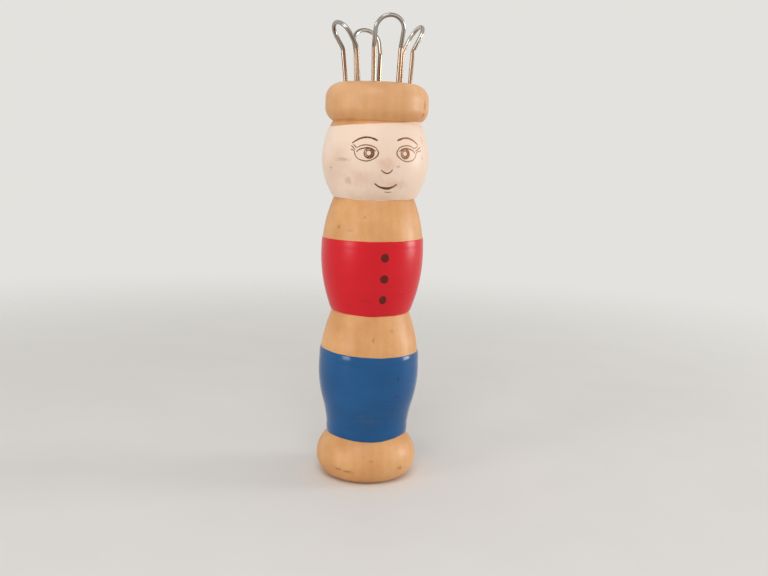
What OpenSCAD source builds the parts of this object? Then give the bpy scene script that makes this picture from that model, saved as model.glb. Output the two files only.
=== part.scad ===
// Knitting nancy: a hollow turned wooden doll with four wire loops in its cap.
// Yarn is worked round the loops and the knitted cord leaves through the bore.
// The doll stands on z = 0, its face and its front loop look to -Y, and lengths are millimetres.

/* [Turning] */
// Width of the round stock that the doll is turned from
stock_d = 28; // [26:0.1:31]

/* [Foot] */
// Width turned away from the stock at the flat that the doll stands on
base_cut = 9; // [6:0.1:10]
// Width turned away at the foot's widest ring
foot_cut = 1; // [0:0.1:2]
// Height of the foot's widest ring above the floor
foot_crest = 5.4; // [4.6:0.1:6.5]
// Height of the waist groove above the floor
foot_h = 11.5; // [10:0.1:14]

/* [Skirt] */
// Width turned away at the waist groove, where the skirt ends
waist_cut = 6.5; // [5:0.1:8]
// Width turned away at the skirt's widest ring
skirt_cut = 1.2; // [0:0.1:2]
// Height of the skirt's widest ring above the waist groove
skirt_crest = 18.1; // [14:0.1:22]
// Length of the skirt from the waist groove to the belt groove
skirt_h = 33.8; // [30:0.1:40]
// Share of the skirt's lower curve that bulges, before it turns to a hollow
skirt_bulge = 0.5; // [0.3:0.01:0.7]

/* [Jacket] */
// Width turned away at the belt groove between skirt and jacket
belt_cut = 7.2; // [5:0.1:8]
// Width turned away at the jacket's widest ring
jacket_cut = 1; // [0:0.1:2]
// Height of the jacket's widest ring above the belt groove
jacket_crest = 15.7; // [12:0.1:19]
// Length of the jacket from the belt groove to the neck groove
jacket_h = 30.1; // [26:0.1:36]

/* [Head and cap] */
// Width turned away at the neck groove
neck_cut = 6.7; // [5:0.1:8]
// Width turned away at the head's widest ring
head_cut = 0.3; // [0:0.1:2]
// Height of the head's widest ring above the neck groove
head_crest = 10.2; // [8:0.1:13]
// Length of the head from the neck groove to its top inside the cap
head_h = 20.1; // [18:0.1:25]
// Width turned away at the head's top
brow_cut = 5.6; // [4.5:0.1:7]
// Width turned away at the cap
cap_cut = 1.1; // [0:0.1:2]
// Height of the cap
cap_h = 10.3; // [9.5:0.1:13]
// Depth by which the cap's rounded edge comes down over the head's top
cap_lap = 0.8; // [0.5:0.1:1.5]
// Radius of the cap's upper edge
cap_top_round = 4.1; // [3:0.1:5]
// Radius of the cap's lower edge
cap_edge_round = 3.9; // [3:0.1:4.2]

/* [Bore] */
// Width of the bore that the knitted cord passes through
bore_d = 10; // [7:0.1:11]
// Width of the bevel at both mouths of the bore
bore_bevel = 1; // [0.4:0.1:1.4]

/* [Wire loops] */
// Thickness of the wire
wire_d = 1.1; // [0.8:0.05:1.4]
// Distance from the edge of the cap's flat top in to the middle of each loop
loop_inset = 1.6; // [1.4:0.05:2]
// Distance between the two legs of a loop, at the cap's top
leg_gap = 6.4; // [6:0.1:7.2]
// Angle by which each leg opens outwards from its partner
leg_splay = 1.8; // [0:0.1:4]
// Length of leg driven into the wood
leg_depth = 9; // [6:0.1:12]
// Room round a leg in its hole, on the width
leg_room = 0.04; // [0.02:0.01:0.1]
// Length of leg from the cap's top to the knee, where the loop folds outwards
knee_reach = 8.5; // [6:0.1:11]
// Radius of the knee along the middle of the wire
knee_round = 2.6; // [1.5:0.1:4]
// Length of wire from the knee to the start of the crown
crown_reach = 3.6; // [2.5:0.1:5]
// Turn of the front, right, back and left loop from its quarter, looking down
loop_turn = [1.5, 7.5, 7, 18]; // [-20:0.5:20]
// Outward lean of the legs of the same four loops
loop_lean = [1.5, 2, 2, 6.5]; // [0:0.5:8]
// Outward slope of the same four loops above the knee
loop_fold = [21.5, 27.5, 25, 34]; // [10:0.5:45]
// Wire added above the knee of the same four loops, which were bent by hand
loop_more = [0.7, 0.2, -0.5, -0.3]; // [-1:0.1:1]

/* [Paint] */
// Thickness of a coat of paint
coat = 0.12; // [0.05:0.01:0.3]
// Height of the blue coat above the waist groove
skirt_paint_h = 23.4; // [18:0.1:28]
// Height of the red coat above the belt groove
jacket_paint_h = 19.6; // [17:0.1:24]
// Height of the white coat above the neck groove
head_paint_h = 18.7; // [16:0.1:19.2]
// Width of a button dot
button_d = 2.1; // [1.4:0.1:3]
// Thickness of a button dot
button_coat = 0.15; // [0.05:0.01:0.3]
// Distance from one button dot to the next
button_pitch = 5.6; // [4:0.1:6.5]
// Height of the top button dot above the belt groove
button_top = 15.6; // [14:0.1:17]

/* [Face] */
// Thickness of the face's ink
ink = 0.1; // [0.05:0.01:0.2]
// Width of an inked line
line_w = 0.32; // [0.2:0.02:0.5]
// Distance between the middles of the eyes, seen from the front
eye_gap = 9.7; // [9:0.1:11]
// Height of the eyes above the head's widest ring
eye_up = 1.4; // [0.5:0.1:2]
// Width of an eye, seen from the front
eye_w = 5.3; // [4.5:0.1:5.6]
// Height of an eye
eye_h = 4.2; // [3.6:0.1:4.6]
// Width of the iris
iris_d = 2.6; // [2:0.1:3]
// Width of the light spot in the iris
light_d = 0.9; // [0.5:0.1:1.2]
// Distance by which the iris lies nearer to the nose than the middle of the eye
iris_in = 0.4; // [0:0.1:0.6]
// Width of a brow
brow_w = 5.6; // [4.5:0.1:6]
// Height of a brow's arch
brow_arch = 1.1; // [0.6:0.1:1.4]
// Height of a brow's top above the middle of the eye
brow_up = 4.1; // [3.6:0.1:4.6]
// Width of the nose line
nose_w = 2.9; // [2:0.1:4]
// Depth of the nose line's curve
nose_dip = 0.8; // [0.5:0.1:1.2]
// Distance from the middle of the eyes down to the nose line's lowest point
nose_down = 4.7; // [4:0.1:5.2]
// Width of the mouth
mouth_w = 5.6; // [4.5:0.1:6.5]
// Depth of the mouth's curve
mouth_dip = 1.2; // [0.8:0.1:1.6]
// Distance from the middle of the eyes down to the mouth's lowest point
mouth_down = 8.9; // [8:0.1:9.4]

/* [Hidden] */
$fn = 96;

wood_colour = "#d9a366";
wire_colour = "#c9c6c0";
white_colour = "#efe3d8";
red_colour = "#c8102a";
blue_colour = "#1d5ea8";
button_colour = "#2a1512";
ink_colour = "#4a2e24";

// Widths of the turning: the stock less what is turned away
base_d = stock_d - base_cut;
foot_d = stock_d - foot_cut;
waist_d = stock_d - waist_cut;
skirt_d = stock_d - skirt_cut;
belt_d = stock_d - belt_cut;
jacket_d = stock_d - jacket_cut;
neck_d = stock_d - neck_cut;
head_d = stock_d - head_cut;
brow_d = stock_d - brow_cut;
cap_d = stock_d - cap_cut;

// Heights of the grooves and crests, stacked up from the floor
waist_z = foot_h;
skirt_z = waist_z + skirt_crest;
belt_z = waist_z + skirt_h;
jacket_z = belt_z + jacket_crest;
neck_z = belt_z + jacket_h;
head_z = neck_z + head_crest;
brow_z = neck_z + head_h;
cap_z = brow_z - cap_lap;
doll_h = cap_z + cap_h;

// A margin that takes cutting shapes clear of what they cut
clear = 1;
wide_r = stock_d / 2 + clear;
// Extra width of the balls that join a bend to its neighbours
weld_swell = 0.02;
// Length by which neighbours on the turning run past a groove
groove_lap = 0.2;
// Extra radius of the skirt's hollow, so that it crosses the bulge cleanly
hollow_ease = 0.1;
// Number of button dots
buttons = 3;

// A leg's knee: its turn, the twist that keeps the splay, and the length that its round takes up
function knee_angle(fold_by) = acos(pow(sin(leg_splay), 2) + pow(cos(leg_splay), 2) * cos(fold_by));
function knee_twist(fold_by) = atan(sin(leg_splay) * tan(fold_by / 2));
function knee_take(fold_by) = knee_round * tan(knee_angle(fold_by) / 2);
loop_ring = cap_d / 2 - cap_top_round - loop_inset;
function crown_round(more) =
    (leg_gap / 2 + (knee_reach + crown_reach + more) * sin(leg_splay)) / cos(leg_splay);

// The round that is upright at a crest and has fallen in by so much after so much rise
function turning_round(rise, fall) = round(1000 * (rise * rise + fall * fall) / (2 * fall)) / 1000;

// Half of a turned swelling: a round from its crest, where it is upright, in to its end.
// It runs on past its end by the lap, so that neighbours cross in a clean groove.
module swell(crest_r, crest_z, end_r, end_z, grow = 0, lap = groove_lap) {
    round_r = turning_round(abs(end_z - crest_z), crest_r - end_r);
    length = abs(end_z - crest_z) + lap;
    low = end_z < crest_z ? crest_z - length : crest_z;
    intersection() {
        translate([0, low]) square([wide_r, length]);
        union() {
            translate([crest_r - round_r, crest_z]) circle(r = round_r + grow);
            translate([0, low]) square([max(crest_r - round_r, end_r / 2), length]);
        }
    }
}

// A turned curve that bulges under its crest and hollows into a groove, upright at both ends.
// The two rounds overlap by a trace where they pass into each other.
module bulge_and_hollow(crest_r, crest_z, groove_r, groove_z, share, grow) {
    rise = crest_z - groove_z;
    both = turning_round(rise, crest_r - groove_r);
    bulge_r = round(1000 * share * both) / 1000;
    hollow_r = both - bulge_r + hollow_ease;
    meet_z = crest_z - bulge_r * rise / both;
    intersection() {
        translate([0, groove_z]) square([wide_r, rise]);
        translate([crest_r - bulge_r, crest_z]) circle(r = bulge_r + grow);
    }
    difference() {
        translate([0, groove_z - groove_lap]) square([crest_r, meet_z - groove_z + groove_lap]);
        translate([groove_r + hollow_r, groove_z]) circle(r = hollow_r - grow);
    }
}

// The cap's outline: straight sides with a round above and a round below
module cap_outline() {
    cap_r = cap_d / 2;
    top_r = cap_r - cap_top_round;
    edge_r = cap_r - cap_edge_round;
    side_low = cap_z + cap_edge_round;
    side_high = doll_h - cap_top_round;
    translate([0, side_low]) square([cap_r, side_high - side_low]);
    translate([0, side_high]) square([top_r, cap_top_round]);
    translate([0, cap_z]) square([edge_r, cap_edge_round]);
    intersection() {
        translate([top_r, side_high]) circle(r = cap_top_round);
        translate([top_r, side_high]) square(cap_top_round);
    }
    intersection() {
        translate([edge_r, side_low]) circle(r = cap_edge_round);
        translate([edge_r, cap_z]) square(cap_edge_round);
    }
}

// The half outlines that carry paint, grown by the paint that lies on them
module skirt_outline(grow = 0) {
    bulge_and_hollow(skirt_d / 2, skirt_z, waist_d / 2, waist_z, skirt_bulge, grow);
    swell(skirt_d / 2, skirt_z, belt_d / 2, belt_z, grow);
}
module jacket_outline(grow = 0) {
    swell(jacket_d / 2, jacket_z, belt_d / 2, belt_z, grow);
    swell(jacket_d / 2, jacket_z, neck_d / 2, neck_z, grow);
}
module head_outline(grow = 0) {
    swell(head_d / 2, head_z, neck_d / 2, neck_z, grow);
    swell(head_d / 2, head_z, brow_d / 2, brow_z, grow);
}

module doll_outline() {
    swell(foot_d / 2, foot_crest, base_d / 2, 0, lap = 0);
    swell(foot_d / 2, foot_crest, waist_d / 2, waist_z);
    skirt_outline();
    jacket_outline();
    head_outline();
    cap_outline();
}

// The through bore with a bevel at both mouths
module bore() {
    bevel_d = bore_d + 2 * bore_bevel;
    translate([0, 0, -clear]) cylinder(h = doll_h + 2 * clear, d = bore_d);
    cylinder(h = bore_bevel, d1 = bevel_d, d2 = bore_d);
    translate([0, 0, doll_h - bore_bevel]) cylinder(h = bore_bevel, d1 = bore_d, d2 = bevel_d);
}

// Wire is drawn along Z: each step leaves its children at the end of what it drew
module run(length) {
    cylinder(h = length, d = wire_d);
    translate([0, 0, length]) children();
}
module twist(angle) {
    rotate([0, 0, angle]) children();
}
// A ball a hair wider than the wire makes a bend and its neighbours one solid
module weld() {
    sphere(d = wire_d + weld_swell);
}
module bend(radius, angle) {
    weld();
    translate([0, -radius, 0]) {
        rotate([90, 0, 90]) rotate_extrude(angle = angle) translate([radius, 0]) circle(d = wire_d);
        rotate([angle, 0, 0]) translate([0, radius, 0]) {
            weld();
            children();
        }
    }
}
module knee(fold_by, side) {
    twist(side * knee_twist(fold_by))
        bend(knee_round, knee_angle(fold_by))
            twist(side * knee_twist(fold_by))
                children();
}
module crown(more) {
    twist(-90) bend(crown_round(more), 180 + 2 * leg_splay) twist(90) children();
}

// The mouth of a leg's hole, with Z along the leg: side is 1 or -1
module at_leg(side, lean) {
    translate([side * leg_gap / 2, 0, 0])
        rotate([lean, 0, 0])
            rotate([0, side * leg_splay, 0])
                children();
}

// One hairpin from the foot of one leg over the crown to the foot of the other
module hairpin(lean, fold, more) {
    fold_by = fold - lean;
    leg_run = leg_depth + knee_reach - knee_take(fold_by);
    crown_run = crown_reach + more - knee_take(fold_by);
    at_leg(1, lean) translate([0, 0, -leg_depth])
        run(leg_run) knee(fold_by, 1) run(crown_run)
            crown(more)
                run(crown_run) knee(fold_by, -1) run(leg_run);
}

// Loops are counted from the front one round to the right, the back and the left
module at_quarter(i) {
    rotate([0, 0, 90 * i + loop_turn[i]]) translate([0, -loop_ring, doll_h]) children();
}
module wire_loop(i) {
    color(wire_colour) at_quarter(i) hairpin(loop_lean[i], loop_fold[i], loop_more[i]);
}

// The holes for one loop, drilled along its legs to the depth of their feet
module leg_holes(i) {
    at_quarter(i)
        for (side = [-1, 1])
            at_leg(side, loop_lean[i])
                translate([0, 0, -leg_depth])
                    cylinder(h = leg_depth + clear, d = wire_d + leg_room);
}

module turned_doll() {
    color(wood_colour) difference() {
        rotate_extrude() doll_outline();
        bore();
        for (i = [0 : 3]) leg_holes(i);
    }
}

module front_loop() { wire_loop(0); }
module right_loop() { wire_loop(1); }
module back_loop() { wire_loop(2); }
module left_loop() { wire_loop(3); }

// The slice of an outline that a coat covers, counted up from a groove
module paint_band(from_z, height) {
    intersection() {
        children();
        translate([0, from_z]) square([wide_r, height]);
    }
}

module head_paint() {
    color(white_colour) rotate_extrude() paint_band(neck_z, head_paint_h) difference() {
        head_outline(coat);
        head_outline();
    }
}
module jacket_paint() {
    color(red_colour) rotate_extrude() paint_band(belt_z, jacket_paint_h) difference() {
        jacket_outline(coat);
        jacket_outline();
    }
}
module skirt_paint() {
    color(blue_colour) rotate_extrude() paint_band(waist_z, skirt_paint_h) difference() {
        skirt_outline(coat);
        skirt_outline();
    }
}

// Dots that lie on the red coat down the front and follow its curve
module button_dots() {
    color(button_colour) intersection() {
        rotate_extrude() difference() {
            jacket_outline(coat + button_coat);
            jacket_outline(coat);
        }
        for (i = [0 : buttons - 1])
            translate([0, 0, belt_z + button_top - i * button_pitch])
                rotate([90, 0, 0])
                    cylinder(h = wide_r, d = button_d);
    }
}

// A curved line of ink as wide as asked, its lowest point at the origin
module ink_curve(width, dip) {
    round_r = (width * width / 4 + dip * dip) / (2 * dip);
    intersection() {
        translate([0, round_r]) difference() {
            circle(r = round_r + line_w / 2);
            circle(r = round_r - line_w / 2);
        }
        translate([-width / 2, -line_w]) square([width, dip + line_w]);
    }
}

// An eye's opening between two lids, drawn wider all round by a margin
module eye_opening(margin) {
    lid_r = (eye_w * eye_w + eye_h * eye_h) / (4 * eye_h);
    intersection_for (lid = [-1, 1])
        translate([0, lid * (lid_r - eye_h / 2)]) circle(r = lid_r + margin);
}

// One eye with its brow: the nose lies to the side that is given, 1 or -1
module eye(nose_side) {
    difference() {
        eye_opening(line_w / 2);
        eye_opening(-line_w / 2);
    }
    translate([nose_side * iris_in, 0]) difference() {
        circle(d = iris_d);
        circle(d = light_d);
    }
    translate([0, brow_up]) mirror([0, 1]) ink_curve(brow_w, brow_arch);
}

module face_lines() {
    translate([-eye_gap / 2, 0]) eye(1);
    translate([eye_gap / 2, 0]) eye(-1);
    translate([0, -nose_down]) ink_curve(nose_w, nose_dip);
    translate([0, -mouth_down]) ink_curve(mouth_w, mouth_dip);
}

// The face's lines, laid on the front of the white coat
module face_ink() {
    color(ink_colour) intersection() {
        rotate_extrude() difference() {
            head_outline(coat + ink);
            head_outline(coat);
        }
        translate([0, 0, head_z + eye_up])
            rotate([90, 0, 0])
                linear_extrude(height = wide_r)
                    face_lines();
    }
}

turned_doll();
front_loop();
right_loop();
back_loop();
left_loop();
head_paint();
jacket_paint();
skirt_paint();
button_dots();
face_ink();
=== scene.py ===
# %% [markdown]
# # Dressing a knitting nancy
# A knitting nancy is a hollow turned wooden doll. Yarn is worked round four wire loops in its cap,
# and the knitted cord leaves through the bore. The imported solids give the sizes, and this lesson adds
# what solids leave out: wood grain, brushed paint with uneven edges, a drawn face and bright wire.
# Lengths are written in millimetres and turned to metres by one factor.

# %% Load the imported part
import random
from functools import partial
from math import acos, asin, atan, atan2, ceil, cos, degrees, dist, pi, radians, sin, tan

import bmesh
import bpy
from mathutils import Matrix, Vector


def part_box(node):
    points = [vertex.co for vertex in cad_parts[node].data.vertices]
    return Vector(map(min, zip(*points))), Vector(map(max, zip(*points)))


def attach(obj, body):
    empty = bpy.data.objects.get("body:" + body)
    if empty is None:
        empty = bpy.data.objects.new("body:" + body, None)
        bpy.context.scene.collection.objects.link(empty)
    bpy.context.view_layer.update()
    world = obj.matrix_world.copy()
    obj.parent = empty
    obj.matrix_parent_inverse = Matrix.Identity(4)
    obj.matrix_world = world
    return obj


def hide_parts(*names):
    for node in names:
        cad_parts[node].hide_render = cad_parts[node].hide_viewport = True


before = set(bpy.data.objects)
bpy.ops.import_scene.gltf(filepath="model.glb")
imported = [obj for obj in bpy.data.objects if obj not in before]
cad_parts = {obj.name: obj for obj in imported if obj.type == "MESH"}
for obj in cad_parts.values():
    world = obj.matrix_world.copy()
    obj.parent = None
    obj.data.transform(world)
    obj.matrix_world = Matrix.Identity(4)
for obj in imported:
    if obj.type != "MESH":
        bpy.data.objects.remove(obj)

MM = 0.001
scene = bpy.context.scene
scene.view_settings.view_transform = "Standard"
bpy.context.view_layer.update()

# %% [markdown]
# ## The camera
# The photograph was taken from close by and a little above the doll, whose face looks slightly to the
# right of the lens. A close lens bends the rings of a round thing more than a far one, so the distance
# matters as much as the angle. The focal length is kept in pixels of the picture, and the sensor's width
# turns it into Blender's lens.

# %% The camera
picture_width = 768
focal_pixels = 900
sensor_width = 36.0
camera_distance = 239.34
camera_height = 88.29
camera_round = -13.8
camera_down = 8.773
camera_aside = 0.84
camera_roll = 2.03
camera_nearest = 10


def put(name, data):
    """A new object that holds the data, linked to the scene."""
    thing = bpy.data.objects.new(name, data)
    scene.collection.objects.link(thing)
    return thing


def turned(angle, axis):
    """A turn about one axis, in degrees."""
    return Matrix.Rotation(radians(angle), 4, axis)


camera_data = bpy.data.cameras.new("camera")
camera_data.sensor_fit = "HORIZONTAL"
camera_data.sensor_width = sensor_width
camera_data.lens = focal_pixels / picture_width * sensor_width
camera_data.clip_start = camera_nearest * MM
camera = put("camera", camera_data)
scene.camera = camera
camera_stand = Vector((0, -camera_distance, camera_height)) * MM
camera.matrix_world = (
    turned(camera_round, "Z")
    @ Matrix.Translation(camera_stand)
    @ turned(-camera_aside, "Z")
    @ turned(90 - camera_down, "X")
    @ turned(camera_roll, "Z")
)
stand = [round(v / MM, 1) for v in camera.matrix_world.translation]
print("lens", round(camera_data.lens, 2), "mm, at", stand)

# %% [markdown]
# ## Tools for the lesson
# Shaders and Geometry Nodes are both trees of nodes, so one function adds a node to either kind: it
# sets the node's properties, then fills or links its inputs. Further functions open a Geometry Nodes
# tree with named inputs, close it, and grow a plain mesh from it. The mesh is taken off the evaluated
# object, so no modifier is left on a piece. Opening a tree also gives the adding function tied to that
# tree, and kinds of node that come up often get a short name.

# %% Nodes, trees and pieces
MATH, VECTOR, MIX = "ShaderNodeMath", "ShaderNodeVectorMath", "ShaderNodeMix"
RANGE, NOISE, BUMP = "ShaderNodeMapRange", "ShaderNodeTexNoise", "ShaderNodeBump"
SPLIT, JOIN = "ShaderNodeSeparateXYZ", "ShaderNodeCombineXYZ"
PLACE, MOVE, OTHER = "GeometryNodeInputPosition", "GeometryNodeSetPosition", "GeometryNodeObjectInfo"
CIRCLE, SWEEP = "GeometryNodeCurvePrimitiveCircle", "GeometryNodeCurveToMesh"
SOFT = {"interpolation_type": "SMOOTHSTEP"}
clear_edge = radians(38)


def srgb(code):
    """An sRGB hex colour as linear red, green, blue and alpha."""
    channels = [int(code[i:i + 2], 16) / 255 for i in (1, 3, 5)]
    linear = [c / 12.92 if c <= 0.04045 else ((c + 0.055) / 1.055) ** 2.4 for c in channels]
    return (*linear, 1.0)


def fill(node, inputs):
    """Fill or link a node's inputs, by name or number."""
    links = node.id_data.links
    for key, value in inputs.items():
        if isinstance(value, bpy.types.Node):
            value = value.outputs[0]
        if isinstance(value, bpy.types.NodeSocket):
            links.new(value, node.inputs[key])
        else:
            node.inputs[key].default_value = value


def add_to(tree, kind, inputs=None, operation=None, **settings):
    """Add a node to a tree, with its operation, its other settings and its inputs."""
    node = tree.nodes.new(kind)
    if operation:
        node.operation = operation
    for name, value in settings.items():
        setattr(node, name, value)
    fill(node, inputs or {})
    return node


def open_tree(name, **inputs):
    """A Geometry Nodes tree with inputs listed by kind, then those inputs and a way to add to it."""
    tree = bpy.data.node_groups.new(name, "GeometryNodeTree")
    tree.interface.new_socket("Geometry", in_out="OUTPUT", socket_type="NodeSocketGeometry")
    for kind, labels in {"Geometry": ["Geometry"], **inputs}.items():
        for label in labels:
            tree.interface.new_socket(label, in_out="INPUT", socket_type="NodeSocket" + kind)
    add = partial(add_to, tree)
    return tree, add("NodeGroupInput").outputs, add


def close_tree(add, geometry, material):
    """Realise instances, shade smooth up to clear edges, set the material and end the tree."""
    plain = add("GeometryNodeRealizeInstances", {0: geometry})
    smooth = add("GeometryNodeSetShadeSmooth", {0: plain})
    angle = add("GeometryNodeInputMeshEdgeAngle")
    sharp = add(MATH, {0: angle, 1: clear_edge}, "GREATER_THAN")
    edges = {0: smooth, "Selection": sharp, "Shade Smooth": False}
    edged = add("GeometryNodeSetShadeSmooth", edges, domain="EDGE")
    finished = add("GeometryNodeSetMaterial", {0: edged, "Material": material})
    add("NodeGroupOutput", {0: finished})


def grow(name, tree, values, base=None):
    """The plain mesh that a tree makes from a base, as a new object at the origin."""
    maker = put(name + "_maker", base or bpy.data.meshes.new(name + "_base"))
    modifier = maker.modifiers.new(tree.name, "NODES")
    modifier.node_group = tree
    for item in tree.interface.items_tree:
        if item.in_out == "INPUT" and item.name in values:
            modifier[item.identifier] = values[item.name]
    evaluated = maker.evaluated_get(bpy.context.evaluated_depsgraph_get())
    mesh = bpy.data.meshes.new_from_object(evaluated)
    bpy.data.objects.remove(maker)
    mesh.name = name
    return put(name, mesh)


def finish_piece(piece, node):
    """Let a piece stand for a CAD node: it goes on the root body and the node is hidden."""
    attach(piece, "root")
    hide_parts(node)
    print(piece.name, "for", node, "with", len(piece.data.polygons), "faces")


def draw_curve(name, lines, closed=False):
    """A curve through lists of points in millimetres, where each point has a pen radius."""
    curve = bpy.data.curves.new(name, "CURVE")
    curve.dimensions = "3D"
    for points, radii in lines:
        spline = curve.splines.new("POLY")
        spline.points.add(len(points) - 1)
        spline.use_cyclic_u = closed
        for target, point, radius in zip(spline.points, points, radii):
            target.co = (*(Vector(point) * MM), 1)
            target.radius = radius
    return curve


# %% [markdown]
# ## The turned outline
# The doll is one turning: foot, skirt, jacket, head and cap follow each other up a stick of beech, and
# a groove parts each from the next. Each swelling is a round that stands upright at its widest ring and
# falls in to a groove, so a crest and an end are all that it needs. Only the lower skirt turns from a
# bulge to a hollow. The grooves' heights and the swellings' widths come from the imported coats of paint.


# %% The turned outline
def band(node):
    """Greatest radius, lowest point and highest point of a turned node, in millimetres."""
    low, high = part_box(node)
    return high.x / MM, low.z / MM, high.z / MM


coat = 0.12
skirt_r, waist_z, blue_top = band("skirt_paint")
jacket_r, belt_z, red_top = band("jacket_paint")
head_r, neck_z, white_top = band("head_paint")
doll_h = band("turned_doll")[2]
base_r = 9.5
foot_crest = (13.5, 5.4)
waist = (10.75, waist_z)
skirt_crest = (skirt_r - coat, waist_z + 18.1)
skirt_bulge = 0.5
belt = (10.4, belt_z)
jacket_crest = (jacket_r - coat, belt_z + 15.7)
neck = (10.65, neck_z)
head_crest = (head_r - coat, neck_z + 10.2)
brow = (11.2, neck_z + 20.1)
cap_r = 13.45
cap_z = doll_h - 10.3
cap_top_round = 4.1
cap_edge_round = 3.9
bore_r = 5.0
bore_bevel = 1.0
arc_steps = 26


def swell(crest, end):
    """Points from a crest, where a round is upright, to its end: each is a radius and a height."""
    rise = end[1] - crest[1]
    fall = crest[0] - end[0]
    radius = (rise * rise + fall * fall) / (2 * fall)
    step = asin(rise / radius) / arc_steps
    turns = [step * i for i in range(arc_steps + 1)]
    return [(crest[0] - radius * (1 - cos(a)), crest[1] + radius * sin(a)) for a in turns]


def opposite(point, middle):
    """A point taken straight through a middle to the other side."""
    return (2 * middle[0] - point[0], 2 * middle[1] - point[1])


def bulge_and_hollow(crest, groove, share):
    """Points from a crest down to a groove, through a bulge and then a hollow."""
    meet = tuple(c + (g - c) * share for c, g in zip(crest, groove))
    hollow = [opposite(point, groove) for point in swell(groove, opposite(meet, groove))]
    return swell(crest, meet) + hollow[-2::-1]


def arc(middle, radius, start, stop):
    """Points of a round about a middle, between two angles in degrees."""
    turns = [radians(start + (stop - start) * i / arc_steps) for i in range(arc_steps + 1)]
    return [(middle[0] + radius * cos(a), middle[1] + radius * sin(a)) for a in turns]


def until_round(points, middle, radius):
    """The points of a run before it enters a round, and then the place where it crosses."""
    for i, point in enumerate(points):
        inside = radius - dist(point, middle)
        if inside > 0:
            last = Vector(points[i - 1])
            outside = dist(last, middle) - radius
            cross = last.lerp(Vector(point), outside / (outside + inside))
            return points[:i] + [tuple(cross)]
    return points


edge_middle = (cap_r - cap_edge_round, cap_z + cap_edge_round)
top_middle = (cap_r - cap_top_round, doll_h - cap_top_round)
head_top = until_round(swell(head_crest, brow), edge_middle, cap_edge_round)
edge_start = degrees(atan2(head_top[-1][1] - edge_middle[1], head_top[-1][0] - edge_middle[0]))
outline = [
    (bore_r + bore_bevel, 0),
    *reversed(swell(foot_crest, (base_r, 0))),
    *swell(foot_crest, waist)[1:],
    *bulge_and_hollow(skirt_crest, waist, skirt_bulge)[-2::-1],
    *swell(skirt_crest, belt)[1:],
    *swell(jacket_crest, belt)[-2::-1],
    *swell(jacket_crest, neck)[1:],
    *swell(head_crest, neck)[-2::-1],
    *head_top[1:],
    *arc(edge_middle, cap_edge_round, edge_start, 0)[1:],
    *arc(top_middle, cap_top_round, 0, 90),
    (bore_r + bore_bevel, doll_h),
    (bore_r, doll_h - bore_bevel),
    (bore_r, bore_bevel),
]
print("outline of", len(outline), "points, widest", round(max(r for r, z in outline), 2), "mm")

# %% [markdown]
# ## Colours in layers
# Wood, paint and ink are never one colour, so a material mixes further colours over a first one, each by
# a share that a pattern gives. Marks of wear are such layers too: soft blots with a broken edge, and a
# few such blots are painted shade and a painted reflection instead. Those in front lie where the
# photograph shows them, and a few like them are strewn behind from a fixed seed.

# %% Layers and marks
mark_draw = random.Random(23).uniform
mark_grain, mark_break = 1.4, 1.5
mark_end, mark_core = 1.7, 0.8
behind_turn, behind_wide, behind_high = (95, 240), (0.8, 3.0), (0.5, 1.2)


def open_material(name):
    """A new material, then its shader and a way to add to its nodes."""
    material = bpy.data.materials.new(name)
    material.use_nodes = True
    tree = material.node_tree
    return material, tree.nodes["Principled BSDF"], partial(add_to, tree)


def in_millimetres(add):
    """Object coordinates of a piece, in millimetres."""
    place = add("ShaderNodeTexCoord").outputs["Object"]
    return add(VECTOR, {0: place, "Scale": 1 / MM}, "SCALE")


def layered(add, ground, layers):
    """Mix layers over a ground in order: each has a share and an sRGB colour."""
    colour = srgb(ground)
    for share, code in layers:
        colour = add(MIX, {"Factor": share, 6: colour, 7: srgb(code)}, data_type="RGBA").outputs[2]
    return colour


def round_about(angle, height, radius):
    """The place on the turning at an angle from the front, in millimetres."""
    turn = radians(angle)
    return (radius * sin(turn), -radius * cos(turn), height)


def marks_on(add, place, marks):
    """Layers of soft broken marks: an angle, a height, a radius, two half sizes, a colour and a strength."""
    layers = []
    for angle, height, radius, wide, high, stain, strength in marks:
        off = add(VECTOR, {0: place, 1: round_about(angle, height, radius)}, "SUBTRACT")
        shaped = add(VECTOR, {0: off, 1: (1 / wide, 1 / wide, 1 / high)}, "MULTIPLY")
        far = add(VECTOR, {0: shaped}, "LENGTH").outputs["Value"]
        broken = add(NOISE, {"Vector": place, "Scale": mark_grain / high, "Detail": 3.0})
        rough = add(MATH, {0: broken, 1: mark_break, 2: far}, "MULTIPLY_ADD")
        limits = {"Value": rough, "From Min": mark_end, "From Max": mark_core, "To Max": strength}
        layers.append((add(RANGE, limits, **SOFT), stain))
    return layers


def worn_behind(count, low, high, radius, stain):
    """Marks like those in front, strewn between two heights on the side that no photograph shows."""
    marks = []
    for _ in range(count):
        angle, height = mark_draw(*behind_turn), mark_draw(low, high)
        marks.append((angle, height, radius, mark_draw(*behind_wide), mark_draw(*behind_high), stain, 0.5))
    return marks


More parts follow.
